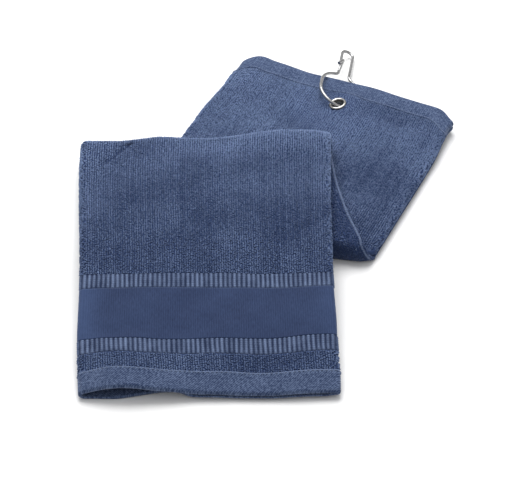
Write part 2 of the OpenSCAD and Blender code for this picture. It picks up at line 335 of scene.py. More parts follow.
def upper_outline(x, t):
    """The upper run's edges aren't straight: how far a point moves to the right."""
    across = -x / STRIP
    right = -2.0 - 1.0 * ease(t / 60) + 1.0 * ease((t - 120) / 60) + 1.5 * ease((t - 165) / 30)
    right = right + 0.9 * hump(t, 157, 28)
    left = -5.6 + 5.0 * ease((t - 10) / 120) + 3.4 * ease((t - 155) / 66)
    return right * (1 - across) + left * across


def top_fold(u, t, off):
    """The top fold: t is the angle, from 0 at the middle run to pi at the upper run."""
    x, h = lifted(u, off)
    share = ease(t / math.pi)
    middle_x = (CORNER[0] - (AXIS[1] - CORNER[1]) * math.tan(MIDDLE_LEAN)
                + (x + middle_outline(x, 1 + 0 * x)) / math.cos(MIDDLE_LEAN))
    px = middle_x * (1 - share) + (UPPER_RIGHT + x + upper_outline(x, 0 * t)) * share
    r = RUN_GAP / 2 + h
    puff = top_puff(x, 1.0)
    y = AXIS[1] + (r + 0.9 * puff) * np.sin(t)
    z = AXIS[2] - r * np.cos(t) + puff * share
    return np.stack([px, y, settle(px, y, z)], -1)


DROP = DROP_TERRY + 2 * RIB_STRIP + PLAIN + BORDER + HEM
UPPER_LEN = FLAT_LEN + DROP
DROP_STEPS = np.linspace(0, UPPER_LEN + 20, 900)
KNEE = 7.0                                  # how gently the upper run bends into its drop


def underside(t):
    """Height of the upper run's underside at t: level, then falling evenly to the table."""
    fallen = KNEE * np.log1p(np.exp((t - FLAT_LEN) / KNEE))
    return 2 * STEP * (1 - fallen / DROP)


DROP_SLOPE = np.gradient(underside(DROP_STEPS), DROP_STEPS)
LEVEL_STEPS = np.sqrt(1 - DROP_SLOPE[1:] ** 2) * np.diff(DROP_STEPS)
DROP_REACH = np.concatenate([[0], np.cumsum(LEVEL_STEPS)])      # how far forward each step lies


def corner_crease(x, t, width):
    """The slanting crease at the upper run's far left corner: 1 in it, 0 beside it."""
    return hump(x + STRIP + 0.85 * (t - 4), 27, width)


def upper_run(u, t, off):
    """The upper run: t is the distance from the top fold toward the free end."""
    x, h = lifted(u, off)
    top = on_top(u)
    left = x + STRIP
    end = ease((t - UPPER_LEN + 46) / 46)
    loop = 4.4 * ease((left + 2) / 28) * (1 - ease((left - 26) / 50))
    edge = 1.1 * (1 - ease(left / 17)) * ease((t - 12) / 20)
    swell = 0.8 * waves(x, t, 60, 11) + 0.22 * waves(x, t, 19, 12)
    h = h + top * (end * loop + swell - edge)
    under = ease((u - U_RIGHT) / 6)
    h = h - end * (top * 1.3 * (1 - under) + 1.7 * under) * ease((left - 48) / 24)
    h = h - top * 1.3 * corner_crease(x, t, 2.4) * (1 - ease((t - 12) / 16))
    wave = 0.9 * waves(x, 0 * t, 75, 13) * ease((t - 90) / 40)
    wave = wave - 2.8 * ease((x + 52) / 45) * hump(t, 168, 24)
    wave = wave + 1.6 * ease((t - 178) / 22)
    px = UPPER_RIGHT + x + upper_outline(x, t)
    y = AXIS[1] - np.interp(t, DROP_STEPS, DROP_REACH) - wave
    z = underside(t) + h * np.sqrt(1 - np.interp(t, DROP_STEPS, DROP_SLOPE) ** 2)
    z = z + top_puff(x, 1 - ease(t / 26))
    flat = 1 - ease((t - 70) / 40)
    z = z * (1 - flat) + settle(px, y, z) * flat
    return np.stack([px, y, z], -1)


# ---- meshes ----

def make_object(name, points, loops, starts, cloth, shade=None):
    """A smooth mesh with the cloth coordinates that the weaves are drawn in."""
    mesh = bpy.data.meshes.new(name)
    mesh.vertices.add(len(points))
    mesh.vertices.foreach_set("co", (points * MM).astype(np.float32).ravel())
    mesh.loops.add(len(loops))
    mesh.loops.foreach_set("vertex_index", loops.astype(np.int32))
    mesh.polygons.add(len(starts))
    mesh.polygons.foreach_set("loop_start", starts.astype(np.int32))
    mesh.update(calc_edges=True)
    mesh.validate()
    mesh.polygons.foreach_set("use_smooth", np.ones(len(starts), bool))
    attribute = mesh.attributes.new("cloth", "FLOAT_VECTOR", "POINT")
    attribute.data.foreach_set("vector", cloth.astype(np.float32).ravel())
    if shade is not None:
        attribute = mesh.attributes.new("shade", "FLOAT", "POINT")
        attribute.data.foreach_set("value", shade.astype(np.float32).ravel())
    piece = bpy.data.objects.new(name, mesh)
    bpy.context.scene.collection.objects.link(piece)
    return piece


def quads_to_loops(quads):
    """The corners of four-sided faces in one list, and each face's first corner."""
    return quads.ravel(), np.arange(len(quads)) * 4


EDGE_TURNS = np.radians([78, 52, 26])       # of the rims of a cloth piece
RIM_TOP = 0.5


def padded_u(u_list, under=UNDER):
    """The u of every column of a cloth piece, with its rounded rims."""
    rim = (under + RIM_TOP) / 2
    return np.concatenate([u_list[0] - rim * np.sin(EDGE_TURNS), u_list,
                           u_list[-1] + rim * np.sin(EDGE_TURNS[::-1])])


def cloth_piece(name, surface, u_list, rows, top, under=UNDER, length_scale=1.0, level=None,
                hole=False):
    """A ply of real thickness, closed all round: u_list across it, and rows of t along it.

    top gives the outer face's distance from the ply's middle at (u, t), and level how light
    it is there; hole leaves out what lies in the eyelet."""
    u = padded_u(u_list, under)
    flatness = np.concatenate([np.cos(EDGE_TURNS), np.ones(len(u_list)), np.cos(EDGE_TURNS[::-1])])
    rows = [np.broadcast_to(np.asarray(r, float), u.shape) for r in rows]
    t = np.stack(rows)
    uu = np.broadcast_to(u, t.shape)
    outer = top(uu, t)
    middle = (outer - under) / 2
    outer = middle + (outer - middle) * flatness
    inner = middle - (middle + under) * flatness
    grid = np.concatenate([surface(uu, t, outer), surface(uu, t, inner)[:, ::-1]], 1)
    height = np.zeros(t.shape) if level is None else level(uu, t)
    cloth = np.stack([np.concatenate([uu, uu[:, ::-1]], 1),
                      np.concatenate([t, t[:, ::-1]], 1) * length_scale,
                      np.concatenate([height, 0 * height], 1)], -1)
    count, width = grid.shape[:2]
    index = np.arange(count * width).reshape(count, width)
    right = np.roll(index, -1, 1)
    walls = np.stack([index[:-1], right[:-1], right[1:], index[1:]], -1).reshape(-1, 4)
    half = width // 2
    ends = []
    for row, turn in ((index[0], 1), (index[-1], -1)):
        a, b = row[:half - 1], row[1:half]
        c, d = row[::-1][1:half], row[::-1][:half - 1]
        ends.append(np.stack([a, d, c, b], -1)[:, ::turn])
    quads = np.concatenate([walls] + ends)
    points = grid.reshape(-1, 3)
    if hole:
        corners = points[quads]
        spots = np.concatenate([(corners + np.roll(corners, 1, 1)) / 2, corners.mean(1)[:, None]], 1)
        reach = np.hypot(spots[..., 0] - EYELET[0], spots[..., 1] - EYELET[1]).min(1)
        quads = quads[reach > HOLE_CLEAR]
    loops, starts = quads_to_loops(quads)
    return make_object(name, points, loops, starts, cloth.reshape(-1, 3))


TUFT_SIDES = 3
TUFT_RINGS = ((0.0, 0.9, -0.3), (0.62, 1.0, 0.0))       # (share of its height, width, sunk by)
NAP_LEAN = 0.25                             # of a tuft's height, toward the free end
SHADE_LOW = -0.4                            # the darkest that a tuft's own shade goes
FOLD_JITTER = 0.5                           # of a column, so that none shows along a fold
STAGGER = 0.22                              # of a row


def tuft_places(rng, u_span, t_span, pitch, seed, scale, rough):
    """Where tufts stand, in uneven columns along the warp, and each column's own shade."""
    columns = np.arange(u_span[0], u_span[1], pitch[0])
    rows = np.arange(t_span[0], t_span[1], pitch[1])
    u, t = np.meshgrid(columns, rows)
    column_shade = np.broadcast_to(rng.normal(0, 0.05, len(columns)), u.shape).ravel()
    t = t + rng.uniform(0, pitch[1], len(columns))
    u = (u + rng.normal(0, 0.08 * rough * pitch[0], u.shape)).ravel()
    on_fold = ((u > U_BACK) & (u < U_LEFT)) | (u > U_FRONT - 1)
    u = u + on_fold * rng.uniform(-FOLD_JITTER, FOLD_JITTER, u.shape) * pitch[0]
    t = (t + rng.normal(0, STAGGER * pitch[1], t.shape)).ravel()
    u = u + 0.16 * waves(u, t * scale, 17, seed + 6)
    return u, t, column_shade


def tuft_faces(count):
    """The corners and first corners of every tuft's walls, base and tip."""
    base = (np.arange(count) * (len(TUFT_RINGS) * TUFT_SIDES + 1))[:, None]
    ring = np.arange(TUFT_SIDES)
    after = (ring + 1) % TUFT_SIDES
    tip = np.full(TUFT_SIDES, len(TUFT_RINGS) * TUFT_SIDES)
    quads = np.stack([ring, after, after + TUFT_SIDES, ring + TUFT_SIDES], -1)
    tris = np.concatenate([[ring[::-1]],
                           np.stack([ring + TUFT_SIDES, after + TUFT_SIDES, tip], -1)])
    quad_loops = (base[:, :, None] + quads).reshape(-1)
    tri_loops = (base[:, :, None] + tris).reshape(-1)
    starts = np.concatenate([np.arange(len(quad_loops) // 4) * 4,
                             len(quad_loops) + np.arange(len(tri_loops) // 3) * 3])
    return np.concatenate([quad_loops, tri_loops]), starts


def pile(name, surface, u_span, t_span, pitch, seed, tone, scale=1.0, keep=None, rough=1.0):
    """Pile: columns of small tufts that stand close along the warp of the ground weave.

    tone gives how much lighter the tufts are painted at (u, t), and holds each run's painted light
    and shade; scale is the length of one unit of t."""
    rng = np.random.default_rng(seed)
    u, t, column_shade = tuft_places(rng, u_span, t_span, pitch, seed, scale, rough)
    if keep is not None:
        kept = keep(u, t)
        u, t, column_shade = u[kept], t[kept], column_shade[kept]
    count = len(u)
    across = 0.5 * pitch[0] * rng.uniform(0.80, 1.04, count)
    along = 0.5 * pitch[1] * scale * rng.uniform(1.2, 1.9, count)
    uneven = 1 + 0.08 * waves(u, t, 9, seed + 1)
    tall = (PILE_TOP - GROUND) * rng.uniform(0.82, 1.12, count) * uneven
    lean_u = rng.normal(0, 0.15 * rough, count) + 0.12 * waves(u, t, 34, seed + 2)
    lean_t = rng.normal(0, 0.2, count) + NAP_LEAN * (1 + 0.4 * waves(u, t, 30, seed + 3))
    turn = rng.uniform(0, math.tau, count)
    streak = waves(3 * u, 0.55 * t * scale, 4.0, seed + 4)
    # tone adds the run's painted light and shade to each tuft's own tone.
    shade = 0.5 + column_shade + 0.10 * streak + rng.normal(0, 0.10 * rough, count) + tone(u, t)
    us, ts, offs, level = [], [], [], []
    for part, wide, sunk in TUFT_RINGS:
        for side in range(TUFT_SIDES):
            angle = turn + side * math.tau / TUFT_SIDES
            us.append(u + part * lean_u * tall + across * wide * np.cos(angle))
            ts.append(t + (part * lean_t * tall + along * wide * np.sin(angle)) / scale)
            offs.append(GROUND + sunk + part * tall)
            level.append(np.full(count, part))
    us.append(u + lean_u * tall)
    ts.append(t + lean_t * tall / scale)
    offs.append(GROUND + tall)
    level.append(np.ones(count))
    us, ts, offs, level = (np.stack(values, 1) for values in (us, ts, offs, level))
    points = surface(us.ravel(), ts.ravel(), offs.ravel())
    cloth = np.stack([us, ts * scale, level], -1).reshape(-1, 3)
    shade = np.repeat(np.clip(shade, SHADE_LOW, 1), us.shape[1])
    return make_object(name, points, *tuft_faces(count), cloth, shade)


LEFT_STEP = 0.7
RIGHT_STEP = 0.4


def u_samples(front_step, back_step=3.0, start=0.0):
    """Points across the section: fine on the front ply and the folds, coarser on the others."""
    spans = [(start, U_BACK, back_step), (U_BACK, U_LEFT, LEFT_STEP),
             (U_LEFT, U_FRONT, front_step), (U_FRONT, U_RIGHT, RIGHT_STEP),
             (U_RIGHT, U_INNER, back_step)]
    parts = [np.linspace(a, b, max(2, round((b - a) / step)), endpoint=False)
             for a, b, step in spans]
    return np.concatenate(parts + [[U_INNER]])


# ---- materials ----

def principled(name):
    """A new material, its nodes and links, and its shader."""
    material = bpy.data.materials.new(name)
    material.use_nodes = True
    nodes, links = material.node_tree.nodes, material.node_tree.links
    return material, nodes, links, nodes["Principled BSDF"]


def cloth_vector(nodes, links, stretch=(1, 1, 0)):
    """The cloth's own coordinates, in millimetres, stretched for a texture."""
    source = nodes.new("ShaderNodeAttribute")
    source.attribute_name = "cloth"
    mapping = nodes.new("ShaderNodeMapping")
    mapping.inputs["Scale"].default_value = stretch
    links.new(source.outputs["Vector"], mapping.inputs["Vector"])
    return mapping.outputs["Vector"]


def noise(nodes, links, vector, scale, detail):
    texture = nodes.new("ShaderNodeTexNoise")
    texture.inputs["Scale"].default_value = scale
    texture.inputs["Detail"].default_value = detail
    links.new(vector, texture.inputs["Vector"])
    return texture.outputs["Fac"]


def math_node(nodes, links, operation, *values):
    node = nodes.new("ShaderNodeMath")
    node.operation = operation
    for socket, value in zip(node.inputs, values):
        if hasattr(value, "links"):
            links.new(value, socket)
        else:
            socket.default_value = value
    return node.outputs[0]


def weighted(nodes, links, start, *terms):
    """start, with each (value, weight) pair's product added."""
    total = start
    for value, weight in terms:
        total = math_node(nodes, links, "MULTIPLY_ADD", value, weight, total)
    return total


def tint(nodes, links, shader, dark, light, share):
    """Gives the surface a colour between dark and light."""
    mix = nodes.new("ShaderNodeMix")
    mix.data_type = "RGBA"
    mix.inputs["A"].default_value = (*dark, 1)
    mix.inputs["B"].default_value = (*light, 1)
    links.new(share, mix.inputs["Factor"])
    links.new(mix.outputs["Result"], shader.inputs["Base Color"])


def bump(nodes, links, shader, height, distance, strength):
    node = nodes.new("ShaderNodeBump")
    node.inputs["Distance"].default_value = distance
    node.inputs["Strength"].default_value = strength
    links.new(height, node.inputs["Height"])
    links.new(node.outputs["Normal"], shader.inputs["Normal"])


def attribute_part(nodes, links, name, part=None):
    """A mesh attribute's own value, or one part of its vector."""
    source = nodes.new("ShaderNodeAttribute")
    source.attribute_name = name
    if part is None:
        return source.outputs["Fac"]
    split = nodes.new("ShaderNodeSeparateXYZ")
    links.new(source.outputs["Vector"], split.inputs[0])
    return split.outputs[part]


def soften(shader, roughness, sheen, tone):
    """The dull, slightly hairy surface of cotton."""
    shader.inputs["Roughness"].default_value = roughness
    shader.inputs["Specular IOR Level"].default_value = 0.25
    shader.inputs["Sheen Weight"].default_value = sheen
    shader.inputs["Sheen Roughness"].default_value = 0.45
    shader.inputs["Sheen Tint"].default_value = (*tone, 1)


def terry_material():
    """Blue velour terry: painted shade darkens it toward the ground between the tufts, lighter at
    their tips, mottled by each tuft's shade value.
    """
    material, nodes, links, shader = principled("terry")
    flat = cloth_vector(nodes, links)
    # Height up each tuft: the dark at the roots is painted shade.
    height = attribute_part(nodes, links, "cloth", "Z")
    tuft = attribute_part(nodes, links, "shade")
    broad = noise(nodes, links, flat, 0.035, 2.0)
    patch = noise(nodes, links, flat, 0.16, 3.0)
    grain = noise(nodes, links, flat, 1.4, 2.0)
    share = weighted(nodes, links, -0.91, (height, 0.5), (tuft, 0.9), (patch, 0.3), (broad, 0.75),
                     (grain, 0.35))
    tint(nodes, links, shader, (0.017, 0.034, 0.096), (0.160, 0.222, 0.375), share)
    soften(shader, 0.95, 0.35, (0.42, 0.50, 0.72))
    bump(nodes, links, shader, grain, 0.00035, 0.6)
    return material


def ribbed_material():
    """Ribbed weave: light ridges of twisted yarn with dark grooves between them, dark partly from
    their ground weave and partly from painted shade.
    """
    material, nodes, links, shader = principled("ribbed_weave")
    flat = cloth_vector(nodes, links)
    # The height value: dark in the grooves, partly painted shade.
    height = attribute_part(nodes, links, "cloth", "Z")
    yarn = noise(nodes, links, cloth_vector(nodes, links, (0.9, 2.4, 0)), 1.0, 3.0)
    patch = noise(nodes, links, flat, 0.12, 2.0)
    share = weighted(nodes, links, -0.85, (height, 1.0), (yarn, 0.9), (patch, 0.7))
    tint(nodes, links, shader, (0.006, 0.016, 0.053), (0.145, 0.196, 0.325), share)
    soften(shader, 0.85, 0.2, (0.5, 0.58, 0.78))
    bump(nodes, links, shader, yarn, 0.0003, 0.7)
    return material


def weave_wave(nodes, links, vector, scale, distortion, direction):
    """Soft even lines square to the direction, as threads make."""
    texture = nodes.new("ShaderNodeTexWave")
    texture.bands_direction = direction
    texture.inputs["Scale"].default_value = scale
    texture.inputs["Distortion"].default_value = distortion
    texture.inputs["Detail"].default_value = 2.0
    links.new(vector, texture.inputs["Vector"])
    return texture.outputs["Fac"]


def plain_material():
    """Plain weave: fine crossing yarns, uneven in tone, with painted highlights along the side folds.
    """
    material, nodes, links, shader = principled("plain_weave")
    flat = cloth_vector(nodes, links)
    warp = weave_wave(nodes, links, flat, 0.42, 0.6, "X")
    weft = weave_wave(nodes, links, flat, 0.42, 0.6, "Y")
    patch = noise(nodes, links, flat, 0.05, 3.0)
    cross = math_node(nodes, links, "MULTIPLY", warp, weft)
    # The height value: the warp threads, and painted highlights along the side folds.
    line = attribute_part(nodes, links, "cloth", "Z")
    grain = noise(nodes, links, cloth_vector(nodes, links, (1.3, 0.35, 0)), 1.0, 2.0)
    share = weighted(nodes, links, -0.47, (patch, 0.5), (cross, 0.2), (grain, 0.8), (line, 0.4))
    tint(nodes, links, shader, (0.004, 0.013, 0.050), (0.030, 0.055, 0.136), share)
    soften(shader, 0.8, 0.3, (0.45, 0.53, 0.75))
    bump(nodes, links, shader, cross, 0.0002, 0.6)
    return material


def hem_material():
    """Twill hem: fine slanting lines over a fuzzy ground."""
    material, nodes, links, shader = principled("hem_weave")
    flat = cloth_vector(nodes, links)
    twill = weave_wave(nodes, links, flat, 0.42, 1.0, "DIAGONAL")
    fuzz = noise(nodes, links, flat, 0.75, 4.0)
    patch = noise(nodes, links, flat, 0.09, 2.0)
    # The height value holds the painted highlight along the seam's raised edge.
    edge = attribute_part(nodes, links, "cloth", "Z")
    share = weighted(nodes, links, -1.85, (twill, 0.5), (edge, 1.3), (fuzz, 3.2), (patch, 0.8))
    tint(nodes, links, shader, (0.016, 0.032, 0.084), (0.098, 0.136, 0.236), share)
    soften(shader, 0.9, 0.35, (0.5, 0.58, 0.78))
    bump(nodes, links, shader, twill, 0.0004, 0.6)
    return material


def thread_material(name, dark, light):
    """Bare twisted yarn, as in the stitches and the selvedge."""
    material, nodes, links, shader = principled(name)
    twist = noise(nodes, links, cloth_vector(nodes, links, (3, 3, 1)), 1.0, 2.0)
    tint(nodes, links, shader, dark, light, twist)
    soften(shader, 0.7, 0.2, (0.6, 0.66, 0.8))
    bump(nodes, links, shader, twist, 0.0001, 0.5)
    return material


def nickel_material(name, low, high, roughness):
    """Worn nickel, with slightly duller patches."""
    material, nodes, links, shader = principled(name)
    place = nodes.new("ShaderNodeTexCoord").outputs["Object"]
    wear = noise(nodes, links, place, 260.0, 1.0)
    tint(nodes, links, shader, low, high, wear)
    shader.inputs["Metallic"].default_value = 1.0
    rough = weighted(nodes, links, roughness, (wear, 0.06))
    links.new(rough, shader.inputs["Roughness"])
    return material


MATERIALS = {
    "terry": terry_material(),
    "ribbed_weave": ribbed_material(),
    "plain_weave": plain_material(),
    "hem_weave": hem_material(),
    "thread": thread_material("thread", (0.10, 0.135, 0.24), (0.20, 0.25, 0.38)),
    "selvedge": thread_material("selvedge", (0.045, 0.068, 0.13), (0.12, 0.16, 0.27)),
    "eyelet_nickel": nickel_material("eyelet_nickel", (0.38, 0.37, 0.35), (0.53, 0.52, 0.50), 0.16),
    "hook_wire": nickel_material("hook_wire", (0.31, 0.31, 0.315), (0.44, 0.44, 0.44), 0.25),
}


def dress(piece, slot, body, *nodes, material=None):
    """Gives a new piece its material, its body and the CAD nodes that it stands for."""
    piece.data.materials.append(MATERIALS[material or slot])
    if body:
        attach(piece, body)
    if nodes:
        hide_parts(*nodes)
    return piece


# ---- the lower run ----

def ground(u, t):
    """The uneven ground weave that the pile stands on."""
    return GROUND + 0.12 * waves(u, t, 2.6, 21)


TWILL_PITCH = 1.5
TWILL_RISE = 0.04
SEAM_INSET = 0.7                            # from the hem's edge to its stitches
SEAM_RISE = 0.2
SEAM_WIDTH = 0.55
ROUND_OFF = 1.3                             # the hem rounds off over this length
ROUND_ROWS = np.array([1, 0.6, 0.3, 0.12, 0.03, 0])     # rows there, as shares of it
END_SINK = 0.4                              # the end lies this far below the ply's middle


def hem_face(start, end):
    """A hem's outer face, rounded off at the cloth's end and stepped up at the seam."""
    def face(u, t):
        seam = SEAM_RISE * hump(t, start + SEAM_INSET, SEAM_WIDTH)
        to_end = np.sqrt(np.clip(1 - ((t - end + ROUND_OFF) / (ROUND_OFF + 0.02)) ** 2, 0.02, 1))
        round_off = np.where(t > end - ROUND_OFF, to_end, 1.0)
        twill = TWILL_RISE * np.sin((u + t) * math.tau / TWILL_PITCH)
        return (HEM_TOP + seam + twill) * round_off - END_SINK * (1 - round_off)
    return face


def hem_rows(start, end, count=40):
    """Rows from start to end, crowded toward the end where the cloth rounds off."""
    rows = np.linspace(start, end, count)
    return np.concatenate([rows[rows < end - ROUND_OFF - 0.2], end - ROUND_OFF * ROUND_ROWS])


def lower_rows(end, count, u):
    """Rows that fan out from the slanting fold line to a straight end."""
    x = section(u)[0]
    start = x * math.tan(SKEW) + fold_in(x) / math.cos(SKEW)
    return [start + (end - start) * share for share in np.linspace(0, 1, count)]


LOWER_HEM_START = LOWER_LEN - HEM
terry_u = u_samples(1.1)
lower_cloth = cloth_piece("lower_run_terry", lower_run, terry_u,
                          lower_rows(LOWER_HEM_START, 150, padded_u(terry_u)), ground, hole=True)
dress(lower_cloth, "terry", "folded_base", "lower_run_front_ply", "lower_run_inner_ply",
      "lower_run_back_ply", "lower_run_side_folds", "eyelet_surround")

hem_u = u_samples(0.36, 2.0)
lower_hem = cloth_piece("hook_end_hem_cloth", lower_run, hem_u,
                        hem_rows(LOWER_HEM_START, LOWER_LEN),
                        hem_face(LOWER_HEM_START, LOWER_LEN), hole=True)
dress(lower_hem, "hem_weave", "folded_base", "hook_end_hem")


def lower_keep(u, t):
    """Tufts stand between the bottom fold and the hem, clear of the eyelet."""
    x = section(u)[0]
    place = lower_run(u, t, 0 * u)
    clear = np.hypot(place[:, 0] - EYELET[0], place[:, 1] - EYELET[1]) > TUFTS_CLEAR
    started = t > x * math.tan(SKEW) + fold_in(x)
    return started & (t < LOWER_HEM_START + 0.2) & clear


TERRY_PITCH = (1.38, 0.86)                  # between columns of tufts, and along them
LOOP_PITCH = (1.5, 1.1)                     # the reverse's loops, which stand wider apart
UNDER_PITCH = (1.7, 1.5)                    # the same on the upper run's hidden underside
LOOP_ROUGH = 1.6


def reverse_loops_and_shade(u, t):
    """The towel's reverse is uncut loops, darker than the velour face: partly their own colour,
    partly painted shade where the reverse lies under or beside the upper run.
    """
    return -0.72 + 0 * u


def painted_light_patch(u, t, place, size):
    """1 in the middle of a patch of painted light, fading to 0 round it; a negative gain makes it
    painted shade.
    """
    return hump(section(u)[0], place[0], size[0]) * hump(t, place[1], size[1])


def lower_painted_light(u, t):
    """Painted light on the lower run: lighter at the left, a painted highlight along its right edge,
    and painted shade toward the bottom fold and in the dip by the seam.
    """
    x = section(u)[0]
    tone = 0.16 * ease((-x - 80) / 25) - 0.32 * (1 - ease((t - 60) / 28))
    tone = tone - 0.20 * painted_light_patch(u, t, (-48, LOWER_LEN - HEM - 7), (28, 7))
    return tone + 0.12 * painted_light_patch(u, t, (-4, 95), (5, 60))


# Patches of painted light and shade: middle (x, t), size across and along, and how much lighter. The
# first two are painted highlights along the side folds.
UPPER_LIGHT_PATCHES = (((3 - STRIP, 60), (9, 90), 0.20),
                 ((0, 60), (6, 120), 0.14),
                 ((-110, 15), (15, 11), -0.16),
                 ((-112, 56), (15, 12), -0.12),
                 ((-38, 29), (20, 9), -0.12),
                 ((-32, 88), (26, 20), -0.10))


def upper_painted_light(u, t):
    """Painted light on the upper run: lighter over the top fold and along both side folds, darker
    toward the drop, and painted shade in the corner crease.
    """
    x = section(u)[0]
    tone = 0.34 * (1 - ease(t / 24)) * ease((x + 108) / 26) - 0.26 * ease((t - 8) / 60)
    for place, size, gain in UPPER_LIGHT_PATCHES:
        tone = tone + gain * painted_light_patch(u, t, place, size)
    return tone - 0.4 * corner_crease(x, t, 1.8) * (1 - ease((t - 14) / 8))


def border_painted_shade(u, t):
    """Painted shade on the border: dark all over, and darkest at the right."""
    return -0.18 - 0.14 * painted_light_patch(u, t, (-30, BORDER_START + BORDER / 2), (28, 20))


lower_pile = pile("lower_run_pile", lower_run, (U_BACK - 1, U_RIGHT),
                  (-STRIP * math.tan(SKEW), LOWER_HEM_START + 0.3), TERRY_PITCH, 31,
                  lower_painted_light, keep=lower_keep)
dress(lower_pile, "terry", "folded_base")

# ---- the bottom fold ----

fold_cloth = cloth_piece("bottom_fold_cloth", bottom_fold, terry_u, np.linspace(0, math.pi, 28),
                         ground, length_scale=STEP / 2)
dress(fold_cloth, "terry", "folded_base", "bottom_fold")
# The fold's loops are darkened by their own colour and by painted shade under the upper run.
fold_pile = pile("bottom_fold_pile", bottom_fold, (0, U_BACK), (0, math.pi),
                 (LOOP_PITCH[0], LOOP_PITCH[1] / STEP), 32, reverse_loops_and_shade,
                 scale=STEP, rough=LOOP_ROUGH)
dress(fold_pile, "terry", "folded_base")

# ---- the middle run ----

MIDDLE_SCALE = 85.0                         # its mean length
middle_u = u_samples(3.0, 1.2, start=SELVEDGE)
middle_cloth = cloth_piece("middle_run_terry", middle_run, middle_u, np.linspace(0, 1, 80),
                           lambda u, t: ground(u, t * MIDDLE_SCALE), length_scale=MIDDLE_SCALE)
dress(middle_cloth, "terry", "folded_base", "middle_run_front_ply", "middle_run_inner_ply",
      "middle_run_back_ply", "middle_run_side_folds")
# The middle run's loops are darkened by their own colour and by painted shade beside the upper run.
middle_pile = pile("middle_run_pile", middle_run, (SELVEDGE, U_LEFT), (0, 1),
                   (LOOP_PITCH[0], LOOP_PITCH[1] / MIDDLE_SCALE), 33, reverse_loops_and_shade,
                   scale=MIDDLE_SCALE, rough=LOOP_ROUGH)
dress(middle_pile, "terry", "folded_base")

SELVEDGE_TOP = 1.1
SELVEDGE_PITCH = 1.6                        # between the weft's turns


def selvedge_face(scale):
    """The selvedge's outer face: a low cord with the weft's turns along it."""
    return lambda u, t: SELVEDGE_TOP + 0.15 * np.sin(t * scale * math.tau / SELVEDGE_PITCH)


selvedge_u = np.linspace(0.5, SELVEDGE + 0.3, 5)
selvedge = cloth_piece("middle_run_selvedge_cloth", middle_run, selvedge_u, np.linspace(0, 1, 300),
                       selvedge_face(MIDDLE_SCALE), under=0.2, length_scale=MIDDLE_SCALE)
fold_selvedge = cloth_piece("bottom_fold_selvedge_cloth", bottom_fold, selvedge_u,
                            np.linspace(0.25 * math.pi, math.pi, 60), selvedge_face(STEP),
                            under=0.2, length_scale=STEP)
dress(fold_selvedge, "hem_weave", "folded_base", material="selvedge")
dress(selvedge, "hem_weave", "folded_base", "middle_run_selvedge", material="selvedge")

# ---- the top fold ----

roll_cloth = cloth_piece("top_fold_cloth", top_fold, terry_u, np.linspace(0, math.pi, 30), ground,
                         length_scale=STEP / 2)
dress(roll_cloth, "terry", None, "top_fold")
# The top fold takes the upper run's painted light from its far end.
roll_pile = pile("top_fold_pile", top_fold, (U_BACK - 1, U_RIGHT), (0, math.pi),
                 (TERRY_PITCH[0], TERRY_PITCH[1] / STEP), 34, lambda u, t: upper_painted_light(u, 0 * t),
                 scale=STEP)
dress(roll_pile, "terry", None)
for piece in (roll_cloth, roll_pile):
    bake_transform(piece)

# ---- the upper run, zone by zone ----

RIB_1 = FLAT_LEN + DROP_TERRY
BAND_START = RIB_1 + RIB_STRIP
RIB_2 = BAND_START + PLAIN
BORDER_START = RIB_2 + RIB_STRIP
UPPER_HEM_START = UPPER_LEN - HEM

upper_u = u_samples(1.1, 2.4)
upper_cloth = cloth_piece("upper_run_terry", upper_run, upper_u, np.linspace(0, RIB_1, 110), ground)
dress(upper_cloth, "terry", "upper_run", "upper_run_front_ply", "upper_run_inner_ply",
      "upper_run_back_ply", "upper_run_side_folds")
upper_pile = pile("upper_run_pile", upper_run, (U_BACK - 1, U_RIGHT), (0, RIB_1 - 0.3),
                  TERRY_PITCH, 35, upper_painted_light)
dress(upper_pile, "terry", "upper_run")
under_pile = pile("upper_run_under_pile", upper_run, (2, U_BACK - 1), (0, RIB_1 - 0.3),
                  UNDER_PITCH, 36, reverse_loops_and_shade)
dress(under_pile, "terry", "upper_run")

RIB_TONES = np.random.default_rng(44).uniform(0.62, 1.0, 512)
YARN_PITCH = 1.5
RIB_END = 0.7                               # the ribs sink over this length at both ends


def rib_wander(u, t):
    """The ribs don't run quite straight."""
    return u + 0.16 * waves(u, t, 14, 41)


def rib_height(u, t):
    """0 in a groove and 1 on a ridge; the ridges are rounded and the grooves narrow."""
    return np.abs(np.sin(rib_wander(u, t) * math.pi / RIB_PITCH)) ** 1.5


def chain(u, t):
    """The slanting yarns on both sides of each ridge, from -1 to 1."""
    place = rib_wander(u, t) / RIB_PITCH
    beside = np.abs(place - np.floor(place) - 0.5)
    return np.sin(math.tau * (t / YARN_PITCH + 1.1 * beside) + 0.8 * waves(u, t, 6, 42))


def rib_level(u, t):
    """How light the weave is: each ridge has a tone of its own, and the grooves are darkened with
    painted shade.
    """
    ridge = np.floor(rib_wander(u, t) / RIB_PITCH).astype(int) % len(RIB_TONES)
    return rib_height(u, t) * RIB_TONES[ridge] * (0.86 + 0.14 * chain(u, t))


def rib_face(start, end):
    """A ribbed strip's outer face: ridges that start and stop inside the strip."""
    def face(u, t):
        fade = ease((t - start) / RIB_END) * ease((end - t) / RIB_END)
        ridge = rib_height(u, t)
        return (RIB_LOW + (RIB_HIGH - RIB_LOW) * ridge * (0.35 + 0.65 * fade)
                + 0.09 * ridge * chain(u, t))
    return face


rib_u = u_samples(0.3, 1.4)
for name, start in (("upper_rib_strip", RIB_1), ("lower_rib_strip", RIB_2)):
    ribs = cloth_piece(name + "_cloth", upper_run, rib_u, np.linspace(start, start + RIB_STRIP, 42),
                       rib_face(start, start + RIB_STRIP), level=rib_level)
    dress(ribs, "ribbed_weave", "upper_run", name)


WARP_PITCH = 1.32


